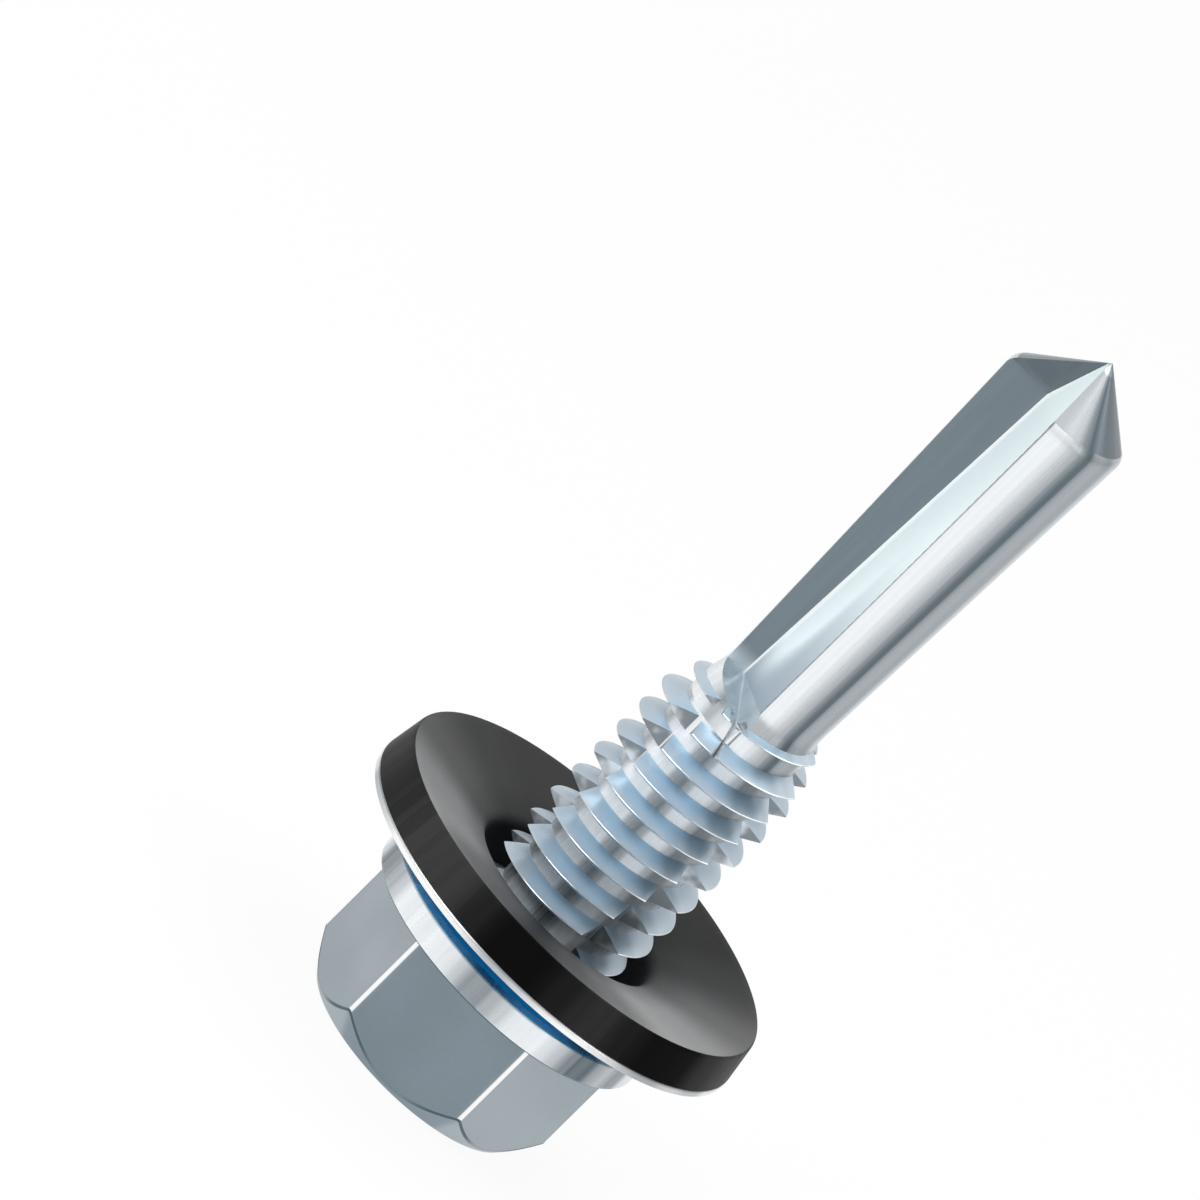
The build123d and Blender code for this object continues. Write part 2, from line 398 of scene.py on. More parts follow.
class Recipe:
    """One node-built material: adds nodes, joins them and keeps the shader at the end."""

    def __init__(self, name, roughness, metallic=1.0, **sockets):
        self.material = bpy.data.materials.new(name)
        self.material.use_nodes = True
        self.tree = self.material.node_tree
        self.shader = self.tree.nodes["Principled BSDF"]
        self.shader.inputs["Roughness"].default_value = roughness
        self.shader.inputs["Metallic"].default_value = metallic
        for socket, value in sockets.items():
            self.shader.inputs[socket.replace("_", " ")].default_value = value

    def add(self, kind, inputs=None, **settings):
        """Node of this material."""
        return add_node(self.tree, kind, inputs, **settings)

    def math(self, operation, first, second=0.0):
        """Result of one sum."""
        return self.add("ShaderNodeMath", {0: first, 1: second}, operation=operation).outputs[0]

    def vector(self, operation, first, second=(0.0, 0.0, 0.0), output="Vector"):
        """Result of one sum of vectors."""
        return self.add("ShaderNodeVectorMath", {0: first, 1: second}, operation=operation).outputs[output]

    def millimetres(self):
        """Object coordinates in millimetres."""
        place_node = self.add("ShaderNodeTexCoord").outputs["Object"]
        return self.vector("MULTIPLY", place_node, (1000.0, 1000.0, 1000.0))

    def height(self):
        """Height above the face of the head in millimetres."""
        return self.add("ShaderNodeSeparateXYZ", {0: self.millimetres()}).outputs[2]

    def round_axis(self):
        """Angle about the axis in radians and distance from it in millimetres."""
        flat = self.vector("MULTIPLY", self.millimetres(), (1.0, 1.0, 0.0))
        parts = self.add("ShaderNodeSeparateXYZ", {0: flat}).outputs
        return self.math("ARCTAN2", parts[1], parts[0]), self.vector("LENGTH", flat, output="Value")

    def noise(self, scale, detail, roughness=0.5, squeeze=(1.0, 1.0, 1.0)):
        """Cloudy noise between 0 and 1, over places in millimetres that a squeeze scales."""
        place_mm = self.vector("MULTIPLY", self.millimetres(), squeeze)
        inputs = {"Vector": place_mm, "Scale": scale, "Detail": detail, "Roughness": roughness}
        return self.add("ShaderNodeTexNoise", inputs).outputs[0]

    def between(self, value, low, high, to_low=0.0, to_high=1.0):
        """Value brought smoothly from low..high to to_low..to_high."""
        inputs = {0: value, 1: low, 2: high, 3: to_low, 4: to_high}
        return self.add("ShaderNodeMapRange", inputs, interpolation_type="SMOOTHSTEP").outputs[0]

    def mix(self, share, first, second, blend="MIX"):
        """Mix of two colours, each a socket or three numbers."""
        plain = [c if isinstance(c, bpy.types.NodeSocket) else (*c, 1.0) for c in (first, second)]
        inputs = {0: share, 6: plain[0], 7: plain[1]}
        return self.add("ShaderNodeMix", inputs, data_type="RGBA", blend_type=blend).outputs[2]

    def steps_round(self, turn, count, seed):
        """Random value for each of count equal steps round the axis, the same from end to end."""
        step = self.math("FLOOR", self.math("MULTIPLY", turn, count / (2 * np.pi)))
        seeded = self.math("ADD", step, seed)
        return self.add("ShaderNodeTexWhiteNoise", {"W": seeded}, noise_dimensions="1D").outputs[0]

    def hollow(self, reach):
        """Share by which other surfaces cover a place within a reach in millimetres."""
        room = self.add("ShaderNodeAmbientOcclusion", {"Distance": reach * MM}, samples=8).outputs["AO"]
        return self.between(room, 0.35, 0.85, 1.0, 0.0)

    def streaks(self, turn, stops, sides=2):
        """Depth of painted bands of light and shade that run along the axis or outwards from it.

        It is a smooth line through stops, each an angle from the front in degrees and a depth, and the line
        comes again on each of so many sides. At an angle a the place on the line is the fraction of
        a / span + 90 / span + 1/2, where span is the angle of one side.
        """
        span = 360 / sides
        place_on_line = self.math("MULTIPLY", turn, np.degrees(1) / span)
        place_on_line = self.math("ADD", place_on_line, 90 / span + 0.5)
        ramp = self.add("ShaderNodeValToRGB", {0: self.math("FRACT", place_on_line)})
        ramp.color_ramp.interpolation = "EASE"
        elements = ramp.color_ramp.elements
        while len(elements) < len(stops):
            elements.new(0.5)
        for element, (from_front, depth) in zip(elements, stops):
            element.position = from_front / span + 0.5
            element.color = (depth, depth, depth, 1.0)
        return ramp.outputs[0]

    def feed(self, name, socket):
        """Joins a value to one of the shader's sockets."""
        self.tree.links.new(socket, self.shader.inputs[name])

    def paint(self, colour_socket, roughness=None, height=None, strength=0.3, depth=0.000004):
        """Joins colour, roughness and height to the shader."""
        self.feed("Base Color", colour_socket)
        if roughness is not None:
            self.feed("Roughness", roughness)
        if height is not None:
            bump = self.add("ShaderNodeBump", {"Height": height, "Distance": depth, "Strength": strength})
            self.feed("Normal", bump.outputs[0])
        return self.material

    def grained(self, base, scale, detail, rough, strength, lumps=0.5, depth=0.000004):
        """Paints a base with a fine grain, which also moves the roughness between two values."""
        grain = self.noise(scale, detail, lumps)
        return self.paint(base, self.between(grain, 0.3, 0.7, *rough), grain, strength, depth)


def forged_zinc(finish, name, shade=1.0, edges="plain"):
    """Zinc on the forged hexagon: soft grey with a fine grain, painted darker and lighter from flat to flat
    as painted shade and light.

    With painted bright corners the upright edges carry a white painted highlight at the corners of the
    hexagon. With painted dark corners the arcs carry painted shade, darkest at the corners.
    """
    recipe = Recipe(name, roughness=0.34)
    turn, radius = recipe.round_axis()
    cloud = recipe.noise(0.35, 1.0)
    from_front = recipe.math("ADD", turn, np.pi / 2)
    threefold = recipe.math("COSINE", recipe.math("MULTIPLY", from_front, 3.0))
    sixfold = recipe.math("COSINE", recipe.math("MULTIPLY", from_front, 6.0))
    tones = [[c * shade for c in tone] for tone in (finish.head_painted_light, finish.head)]
    base = recipe.mix(recipe.between(threefold, -0.15, 0.15), *tones)
    lighter = recipe.mix(1.0, base, (1.12, 1.1, 1.1), "MULTIPLY")
    base = recipe.mix(recipe.between(cloud, 0.3, 0.7), base, lighter)
    # Painted shade along the arcs, darkest near the corners.
    if edges == "painted_dark_corners":
        base = recipe.mix(recipe.between(sixfold, 0.9, -0.6, 0.15, 1.0), base, finish.streak_and_painted_shade)
    # Painted highlight: a white line on each upright edge.
    if edges == "painted_bright_corners":
        on_corner = recipe.between(sixfold, -0.992, -0.998)
        edge = recipe.math("MULTIPLY", on_corner, recipe.between(radius, 4.3, 4.4))
        base = recipe.mix(edge, base, (1.0, 1.0, 1.0))
    return recipe.grained(base, 14.0, 3.0, (0.3, 0.4), 0.35, lumps=0.6)


# Stops of the painted bands of reflection and shade, and of the painted sheens: degrees from the front,
# and the depth or strength there.
FLANGE_PAINTED_REFLECTION = (
    (-90, 0.25), (-84, 0.1), (-76, 0.5), (-70, 0.95), (-63, 0.85), (-54, 0.62), (-49, 0.4), (-44, 0.05),
    (-38, 0.0), (-20, 0.0), (-15, 0.12), (-10, 0.43), (-5, 0.78), (1, 0.8), (5, 0.6), (10, 0.4),
    (15, 0.12), (20, 0.0), (26, 0.0), (31, 0.25), (36, 0.52), (41, 0.84), (46, 1.0), (51, 1.0),
    (55, 0.7), (60, 0.6), (66, 0.82), (70, 0.8), (76, 0.25), (90, 0.25),
)
ROOT_PAINTED_REFLECTION = (
    (-90, 0.5), (-62, 0.6), (-50, 0.08), (-21, 0.0), (-13, 0.65), (-4, 0.85), (2, 0.6), (9, 0.0),
    (20, 0.05), (29, 0.55), (38, 0.95), (46, 0.88), (60, 0.72), (75, 0.55), (90, 0.5),
)
FLANK_PAINTED_SHADE = (
    (-90, 0.0), (-40, 0.0), (-12, 0.06), (10, 0.0), (24, 0.12), (36, 0.42), (48, 0.55), (60, 0.3),
    (75, 0.0), (90, 0.0),
)
LAND_PAINTED_REFLECTION = (
    (-90, 0.4), (-74, 0.2), (-60, 0.0), (-45, 0.1), (-31, 0.6), (-20, 0.3), (-8, 0.0), (-0.5, 0.0),
    (0, 0.9), (1, 0.9), (1.8, 0.0), (12, 0.0), (18, 0.17), (24, 0.4), (30, 0.62), (35, 0.82),
    (38, 0.95), (43, 1.0), (46, 0.78), (50, 0.7), (56, 0.65), (66, 0.74), (76, 0.5), (90, 0.4),
)
POINT_PAINTED_REFLECTION = (
    (-90, 0.8), (-60, 0.3), (-35, 0.7), (-12, 0.35), (12, 0.35), (24, 0.5), (33, 0.85), (40, 1.0),
    (48, 0.92), (90, 0.8),
)
RECESS_PAINTED_REFLECTION = ((-90, 0.7), (-50, 0.9), (-25, 0.3), (5, 0.6), (25, 0.1), (60, 0.8), (90, 0.7))


def turned_zinc(name, finish, stops, steps, metallic=0.6, painted_shade_share=0.0):
    """Bright zinc with marks along the axis, by the angle only: dark bands of painted reflection and fine
    steps of tone.
    """
    recipe = Recipe(name, roughness=0.26, metallic=metallic)
    turn = recipe.round_axis()[0]
    depth = recipe.streaks(turn, stops)
    fine = recipe.steps_round(turn, steps, 3.0)
    coarse = recipe.steps_round(turn, steps / 3, 11.0)
    fine = recipe.math("MULTIPLY", fine, 0.45)
    mixed = recipe.math("ADD", fine, recipe.math("MULTIPLY", coarse, 0.55))
    strong = recipe.math("MULTIPLY", depth, recipe.between(mixed, 0.1, 0.8, 0.91, 1.0))
    faint = recipe.math("MULTIPLY", mixed, 0.13)
    base = recipe.mix(recipe.math("MAXIMUM", strong, faint), finish.bright, finish.streak_and_painted_shade)
    # Painted shade: blue where other surfaces cover the place within 2 mm.
    if painted_shade_share:
        covered = recipe.math("MULTIPLY", recipe.hollow(2.0), painted_shade_share)
        base = recipe.mix(covered, base, finish.painted_shade_blue)
    return recipe.paint(base, recipe.between(mixed, 0.0, 1.0, 0.24, 0.32))


def hollow_zinc(finish):
    """Zinc on the seat: satin and pale in the open, with painted blue shade where the plate covers it."""
    recipe = Recipe("hollow_zinc", roughness=0.4)
    radius = recipe.round_axis()[1]
    outside_neck = recipe.between(radius, 2.7, 3.7)
    band = recipe.math("MULTIPLY", outside_neck, recipe.between(radius, 4.6, 4.98, 1.0, 0.0))
    covered = recipe.math("MULTIPLY", recipe.hollow(1.6), band)
    cloud = recipe.between(recipe.noise(0.8, 2.0), 0.3, 0.7)
    pale = recipe.mix(cloud, finish.plate, finish.flank_edge)
    recipe.feed("Metallic", recipe.between(covered, 0.0, 1.0, 0.85, 0.25))
    return recipe.paint(recipe.mix(covered, pale, finish.painted_shade_blue))


def rolled_zinc(finish):
    """Zinc on the thread's flanks: steel blue near the root as painted shade, painted paler towards the
    crest and towards +X and -X as painted light, with painted shade bands by the angle.
    """
    recipe = Recipe("rolled_zinc", roughness=0.36, metallic=0.55)
    turn, radius = recipe.round_axis()
    cloud = recipe.between(recipe.noise(1.3, 2.0), 0.3, 0.7, 0.5, 0.95)
    twofold = recipe.math("COSINE", recipe.math("MULTIPLY", turn, 2.0))
    across = recipe.between(twofold, -0.7, 0.7, 0.0, 0.75)
    share = recipe.math("MULTIPLY", recipe.between(radius, 2.05, 2.72), cloud)
    share = recipe.math("MAXIMUM", share, across)
    base = recipe.mix(share, finish.flank, finish.flank_edge)
    base = recipe.mix(recipe.streaks(turn, FLANK_PAINTED_SHADE), base, finish.streak_and_painted_shade)
    return recipe.grained(base, 18.0, 2.0, (0.3, 0.42), 0.3)


def milled_zinc(name, colour_value, metallic=1.0, start_colour=None):
    """Zinc on a wall of the flutes, with faint marks along the flute, and a start colour at the thread that
    is painted light.
    """
    recipe = Recipe(name, roughness=0.3, metallic=metallic)
    marks = recipe.noise(1.0, 2.0, squeeze=(3.0, 3.0, 0.2))
    pale = [min(1, c * 1.05) for c in colour_value]
    deep = [c * 0.93 for c in colour_value]
    base = recipe.mix(recipe.between(marks, 0.35, 0.65), deep, pale)
    if start_colour is not None:
        base = recipe.mix(recipe.between(recipe.height(), 15.6, 16.5, 1.0, 0.0), base, start_colour)
    return recipe.paint(base, recipe.between(marks, 0.3, 0.7, 0.28, 0.38), recipe.noise(16.0, 2.0), 0.25)


def edge_wall_zinc(finish):
    """Zinc on the wall at the back of a land: bright, with painted shade beside the thread and along the
    outer edge.

    The painted shade fades over a length that grows from 1.6 mm at the corner to 8 mm at the edge.
    """
    recipe = Recipe("edge_wall_zinc", roughness=0.32, metallic=0.1)
    fade = recipe.between(recipe.round_axis()[1], 1.0, 1.5, 1.6, 8.0)
    along = recipe.math("DIVIDE", recipe.math("SUBTRACT", recipe.height(), 15.5), fade)
    dim = recipe.between(along, 0.0, 1.0, 1.0, 0.0)
    return recipe.paint(recipe.mix(dim, finish.flute, finish.flute_start))


def pressed_zinc(finish):
    """Zinc on the washer's plate: satin grey, with painted blue shade where the flange covers it, and a
    white painted highlight with painted reflection bands at its edge.
    """
    recipe = Recipe("pressed_zinc", roughness=0.36)
    turn, radius = recipe.round_axis()
    cloud = recipe.between(recipe.noise(0.6, 2.0), 0.35, 0.65)
    base = recipe.mix(cloud, finish.plate, [min(1, c * 1.15) for c in finish.plate])
    covered = recipe.math("MULTIPLY", recipe.hollow(2.2), recipe.between(radius, 3.2, 3.8, 0.15, 1.0))
    base = recipe.mix(covered, base, finish.painted_shade_blue)
    # Painted reflection: the edge is white with dark bands by the angle.
    depth = recipe.math("MULTIPLY", recipe.streaks(turn, FLANGE_PAINTED_REFLECTION), 0.65)
    edge = recipe.mix(depth, (1.0, 1.0, 1.0), finish.streak_and_painted_shade)
    base = recipe.mix(recipe.between(radius, 6.8, 6.9), base, edge)
    recipe.feed("Metallic", recipe.between(covered, 0.0, 1.0, 0.8, 0.25))
    return recipe.grained(base, 16.0, 3.0, (0.3, 0.42), 0.3)


# Painted sheen of the rubber's face and of its side.
FACE_SHEEN = (
    (-180, 0.08), (-140, 0.1), (-120, 0.13), (-90, 0.28), (-62, 0.74), (-46, 0.85), (-28, 0.46),
    (-14, 0.32), (0, 0.1), (14, 0.3), (30, 0.55), (48, 1.0), (62, 0.88), (90, 0.43), (120, 0.17),
    (140, 0.1), (180, 0.08),
)
SIDE_SHEEN = (
    (-180, 0.1), (-125, 0.16), (-90, 0.25), (-76, 0.12), (-56, 0.07), (-36, 0.14), (-24, 0.13),
    (-14, 0.04), (-6, 0.0), (6, 0.0), (15, 0.03), (25, 0.11), (36, 0.03), (43, 0.0), (57, 0.0),
    (66, 0.1), (76, 0.23), (90, 0.29), (125, 0.16), (180, 0.1),
)


def moulded_rubber(finish, name, stops, specular, ribs):
    """Black rubber with a fine grain, a painted sheen by the angle that fades towards the hole, and faint
    ribs.
    """
    recipe = Recipe(name, roughness=0.55, metallic=0.0, Specular_IOR_Level=specular)
    turn, radius = recipe.round_axis()
    depth = recipe.streaks(turn, stops, sides=1)
    step = recipe.steps_round(turn, 150.0, 5.0)
    sheen = recipe.math("MULTIPLY", depth, recipe.between(step, 0.0, 1.0, 1.0 - ribs, 1.0))
    sheen = recipe.math("MULTIPLY", sheen, recipe.between(radius, 3.3, 4.8, 0.65, 1.0))
    base = recipe.mix(sheen, finish.rubber, finish.rubber_sheen)
    return recipe.grained(base, 22.0, 3.0, (0.48, 0.6), 0.4, lumps=0.6, depth=0.000006)


def thread_end_height(settings):
    """Height at which the thread has run out."""
    return settings.head.seat + settings.thread.start + settings.thread.span


def point_height(shank):
    """Height at which the lands meet the point."""
    return shank.tip - shank.drill_radius / np.tan(shank.point_angle / 2)


class SCREW_OT_head(Operator):
    """Makes the hexagon head with its recess and its flange"""

    bl_idname = "screw.head"
    bl_label = "Head"

    SIDE, FLANGE, UNDER, RECESS, CROWN, ARC, LIP = range(7)

    def execute(self, context):
        settings = context.scene.drilling_screw
        size = settings.head
        angles = hexagon_angles(size.across_flats, size.corner_round)
        side = hexagon_radius(angles, size.across_flats, size.corner_round)
        flange_top = size.seat - size.flange_rim
        one = np.ones_like(side)
        corners = np.array(
            [
                [one * 0, one * size.recess_depth],
                [one * size.recess_floor, one * size.recess_depth],
                [one * size.recess_radius, one * 0],
                [one * size.crown_radius, one * 0],
                [side, (side - size.crown_radius) * np.tan(size.crown_slope)],
                [side, one * flange_top],
                [one * size.flange_radius, one * flange_top],
                [one * size.flange_radius, one * size.seat],
                [one * 0, one * size.seat],
            ]
        ).transpose(0, 2, 1)
        recess_edge = 0.12 * MM
        face_edge = 0.07 * MM
        flange_foot = 0.1 * MM
        cuts = [size.recess_round, recess_edge, face_edge, size.crown_round, flange_foot]
        cuts += [size.flange_round, size.flange_edge]
        line = lay_points(rounded_line(corners, cuts), 0.45 * MM)
        points = turned(line, angles)
        rows, columns = points.shape[:2]
        low = np.arange(columns) + columns
        high = np.arange(columns) + (rows - 2) * columns
        faces = [low[::-1], *grid_quads(rows - 2, columns, first=columns), high]
        zones = np.repeat(self.zones(size, line[1:-1], side, flange_top), columns)
        zones = np.concatenate([[self.RECESS], zones, [self.UNDER]])
        finish = settings.finish
        finishes = [
            forged_zinc(finish, "forged_zinc", edges="painted_bright_corners"),
            turned_zinc("flange_zinc", finish, FLANGE_PAINTED_REFLECTION, 240.0, metallic=0.85),
            hollow_zinc(finish),
            # Painted blue shade, faint, in the recess.
            turned_zinc("recess_zinc", finish, RECESS_PAINTED_REFLECTION, 200.0, painted_shade_share=0.12),
            # The crown is painted 6 % lighter than the flats, as painted light.
            forged_zinc(finish, "crown_zinc", 1.06),
            forged_zinc(finish, "arc_zinc", edges="painted_dark_corners"),
            # Painted shade: a thin dark line along the flange's edge beside the hexagon.
            milled_zinc("lip_zinc", finish.streak_and_painted_shade),
        ]
        piece = place("screw_head", points, faces, finishes, zones)
        smooth(piece.data, 32)
        dress(piece, "screw", "screw")
        return {"FINISHED"}

    def zones(self, size, line, side, flange_top):
        """Finish of each row of faces between two neighbouring rings of the line."""
        middle = line.mean(axis=1)
        radius, height = ((middle[1:] + middle[:-1]) / 2).T
        rim = radius > size.flange_radius - 0.3 * MM
        flange = (height > flange_top - 0.01 * MM) & rim
        lip = flange & (height < flange_top + 0.07 * MM)
        under = (height > size.seat - 0.2 * MM) & ~rim
        beside = np.abs(line[:, :, 0] - side).max(axis=1) < 0.03 * MM
        recess = radius < size.recess_radius - 0.05 * MM
        crown = ~(beside[1:] & beside[:-1]) & (height < flange_top - 0.2 * MM)
        step_out, step_up = np.diff(line, axis=0).mean(axis=1).T
        slope = np.degrees(np.arctan2(step_up, np.abs(step_out)))
        bent = (slope > np.degrees(size.crown_slope) + 2) & (slope < 89)
        arc = bent & (radius > size.crown_radius) & (height < flange_top / 2)
        places = [under, lip, flange, recess, arc, crown]
        names = [self.UNDER, self.LIP, self.FLANGE, self.RECESS, self.ARC, self.CROWN]
        return np.select(places, names, default=self.SIDE)


# Places of the finishes in the lists of the shank and the thread; the flutes' own are the same in both.
ROOT, LAND, EDGE_WALL, CORNER, FLOOR_WALL, RUN_OUT, NECK, POINT, LAND_END = range(9)
FLANK, NOTCH, CREST = ROOT, LAND, NECK
# Points between the sections of a flute, and how far a cut starts beside the surface that it meets.
SECTION_STEPS = (14, 24, 40, 10, 2)
CLEAR = 0.03 * MM


def flute_sections(size, shank, thread_end):
    """Heights, corners and wall directions of a flute, straight between six set sections.

    From the groove's pointed end through the step at the thread and the base of the point to past the tip,
    each of corner, edge direction and floor direction is a straight line of the height.
    """
    step = thread_end - size.run_out
    lean = np.degrees(size.groove_lean)
    groove_bottom = shank.root_radius - size.groove_depth
    corner_point = (-size.corner_at_point, -size.floor)
    corner_tip = (-size.web, -size.web * size.floor / size.corner_at_point)
    edge_point = (size.corner_at_point, size.floor - shank.drill_radius)
    corner_thread = (-size.corner_at_thread, -size.floor)
    edge_thread = (size.corner_at_thread, size.floor - shank.end_radius)
    edge_groove = (size.groove_side, -size.groove_depth)
    table = [
        (step - size.groove_length, (0, -shank.root_radius - CLEAR), (0, -1), -90 - lean / 2),
        (step, (-size.groove_side, -groove_bottom), edge_groove, -90 - lean),
        (thread_end, corner_thread, edge_thread, -180),
        (point_height(shank), corner_point, edge_point, -180),
        (shank.tip, corner_tip, edge_point, -180),
        (shank.tip + CLEAR, corner_tip, edge_point, -180),
    ]
    heights, corners, edges, turns = (np.array(column, dtype=float) for column in zip(*table))
    edges /= np.linalg.norm(edges, axis=1, keepdims=True)
    turns = np.radians(turns)
    floors = np.stack([np.cos(turns), np.sin(turns)], axis=1)
    runs = zip(heights[:-1], heights[1:], SECTION_STEPS)
    along = np.unique(np.concatenate([heights, *(np.linspace(*run) for run in runs)]))
    spread = np.array([[np.interp(along, heights, c) for c in part.T] for part in (corners, edges, floors)])
    return along, spread.transpose(0, 2, 1)


def flute_cutter(settings):
    """Closed cutter of both flutes: a rounded corner and two walls carried along the axis, and its copy."""
    size = settings.flute
    shank = settings.shank
    thread_end = thread_end_height(settings)
    reach = 1.5 * settings.thread.crest_radius
    along, (corner, edge, floor) = flute_sections(size, shank, thread_end)
    edge_end = corner + reach * edge
    floor_end = corner + reach * floor
    rounding = np.interp(
        along,
        [thread_end - size.run_out, thread_end, point_height(shank), shank.tip],
        [0.02 * MM, size.corner_round, size.corner_round, 0.01 * MM],
    )
    walls = rounded_line(np.stack([edge_end, corner, floor_end]), [rounding[:, None]], steps=8)
    far = (edge_end + floor_end - corner)[None]
    ring = np.concatenate([walls, far])
    points = np.concatenate([ring, np.broadcast_to(along[None, :, None], (*ring.shape[:2], 1))], axis=-1)
    points = points.transpose(1, 0, 2)
    rows, columns = points.shape[:2]
    both = np.concatenate([points, points * np.array([-1, -1, 1])])
    faces = [*closed_strip(rows, columns), *closed_strip(rows, columns, first=rows * columns)]
    across = np.full(columns, FLOOR_WALL)
    across[: columns // 2 - 2] = EDGE_WALL
    across[columns // 2 - 2 : columns // 2] = CORNER
    upper = np.repeat(along[1:], columns)
    in_groove = upper < thread_end - size.run_out + 0.01 * MM
    in_step = upper < thread_end + 0.01 * MM
    # The groove takes the corner's bright zinc, painted light where it lies in shade.
    walls = np.select([in_groove, in_step], [CORNER, RUN_OUT], default=np.tile(across, rows - 1))
    zones = np.concatenate([walls, [RUN_OUT, FLOOR_WALL]])
    return both, faces, np.tile(zones, 2)


def flute_finishes(finish):
    """Finishes of the edge wall, the corner, the floor wall and the run-out, in the cutter's order."""
    return [
        edge_wall_zinc(finish),
        # Painted highlight: the flute's inner corner is bright zinc.
        milled_zinc("corner_zinc", finish.bright, metallic=0.6),
        milled_zinc("floor_wall_zinc", finish.floor_wall, start_colour=finish.floor_wall_start),
        milled_zinc("run_out_zinc", finish.run_out, metallic=0.45),
    ]


def carve(piece, points, faces, zones):
    """Takes the space of a cutter out of a piece, and leaves the cutter's finishes on the new walls."""
    mesh = make_mesh("flutes", points, faces, list(piece.data.materials), zones)
    cutter = add_object("flutes", mesh)
    cut = piece.modifiers.new("flutes", "BOOLEAN")
    cut.operation = "DIFFERENCE"
    cut.solver = "EXACT"
    cut.use_self = True
    cut.material_mode = "INDEX"
    cut.object = cutter
    whole = piece.data
    result = bpy.data.meshes.new_from_object(piece.evaluated_get(bpy.context.evaluated_depsgraph_get()))
    if len(result.polygons) == 0:
        raise RuntimeError(f"cutting the flutes left nothing of {piece.name}")
    piece.modifiers.remove(cut)
    piece.data = result
    result.name = piece.name
    bpy.data.objects.remove(cutter)
    bpy.data.meshes.remove(mesh)
    bpy.data.meshes.remove(whole)


class SCREW_OT_shank(Operator):
    """Makes the neck, the core of the thread and the fluted drill"""

    bl_idname = "screw.shank"
    bl_label = "Shank and drill"

    def execute(self, context):
        settings = context.scene.drilling_screw
        size = settings.shank
        seat = settings.head.seat
        foot = seat - 0.4 * MM
        neck_end = seat + size.neck_length
        thread_end = thread_end_height(settings)
        point = point_height(size)
        step = thread_end - settings.flute.run_out
        corners = np.array(
            [
                (0, foot),
                (size.neck_radius, foot),
                (size.neck_radius, neck_end),
                (size.root_radius, neck_end + size.neck_radius - size.root_radius),
                (size.root_radius, step),
                (size.end_radius, thread_end),
                (size.drill_radius, point),
                (0, size.tip),
            ]
        )[:, None, :]
        cuts = [0.02 * MM, 0.05 * MM, 0.05 * MM, 0.1 * MM, 0.2 * MM, size.drill_round]
        line = lay_points(rounded_line(corners, cuts), 0.5 * MM)
        columns = 216
        past_flute_corner = 0.0041
        angles = np.linspace(0, 2 * np.pi, columns, endpoint=False) + past_flute_corner
        points = turned(line[1:-1], angles)
        rows = len(points)
        tip = np.array([[0, 0, size.tip]])
        quads = grid_quads(rows, columns)
        last = np.arange(columns) + (rows - 1) * columns
        cone = np.stack([last, np.roll(last, -1), np.full(columns, rows * columns)], axis=1)
        faces = [np.arange(columns)[::-1], *quads, *cone]
        points = np.concatenate([points.reshape(-1, 3), tip])
        height = (line[1:-2, 0, 1] + line[2:-1, 0, 1]) / 2
        above = [point + 0.12 * MM, point - 0.21 * MM, thread_end - 1.3 * MM, seat + 1.3 * MM]
        rings = np.select([height > low for low in above], [POINT, LAND_END, LAND, ROOT], default=NECK)
        zones = np.concatenate([[NECK], np.repeat(rings, columns), np.full(columns, POINT)])
        finish = settings.finish
        finishes = [
            turned_zinc("root_zinc", finish, ROOT_PAINTED_REFLECTION, 200.0, metallic=0.3),
            turned_zinc("land_zinc", finish, LAND_PAINTED_REFLECTION, 170.0, metallic=0.7),
            *flute_finishes(finish),
            # Painted blue shade where the washer covers the neck.
            turned_zinc("neck_zinc", finish, ROOT_PAINTED_REFLECTION, 200.0, painted_shade_share=0.45),
            turned_zinc("point_zinc", finish, POINT_PAINTED_REFLECTION, 170.0),
            turned_zinc("land_end_zinc", finish, LAND_PAINTED_REFLECTION, 170.0, metallic=0.2),
        ]
        piece = place("screw_shank", points, faces, finishes, zones)
        carve(piece, *flute_cutter(settings))
        smooth(piece.data, 24)
        dress(piece, "screw", "screw")
        return {"FINISHED"}


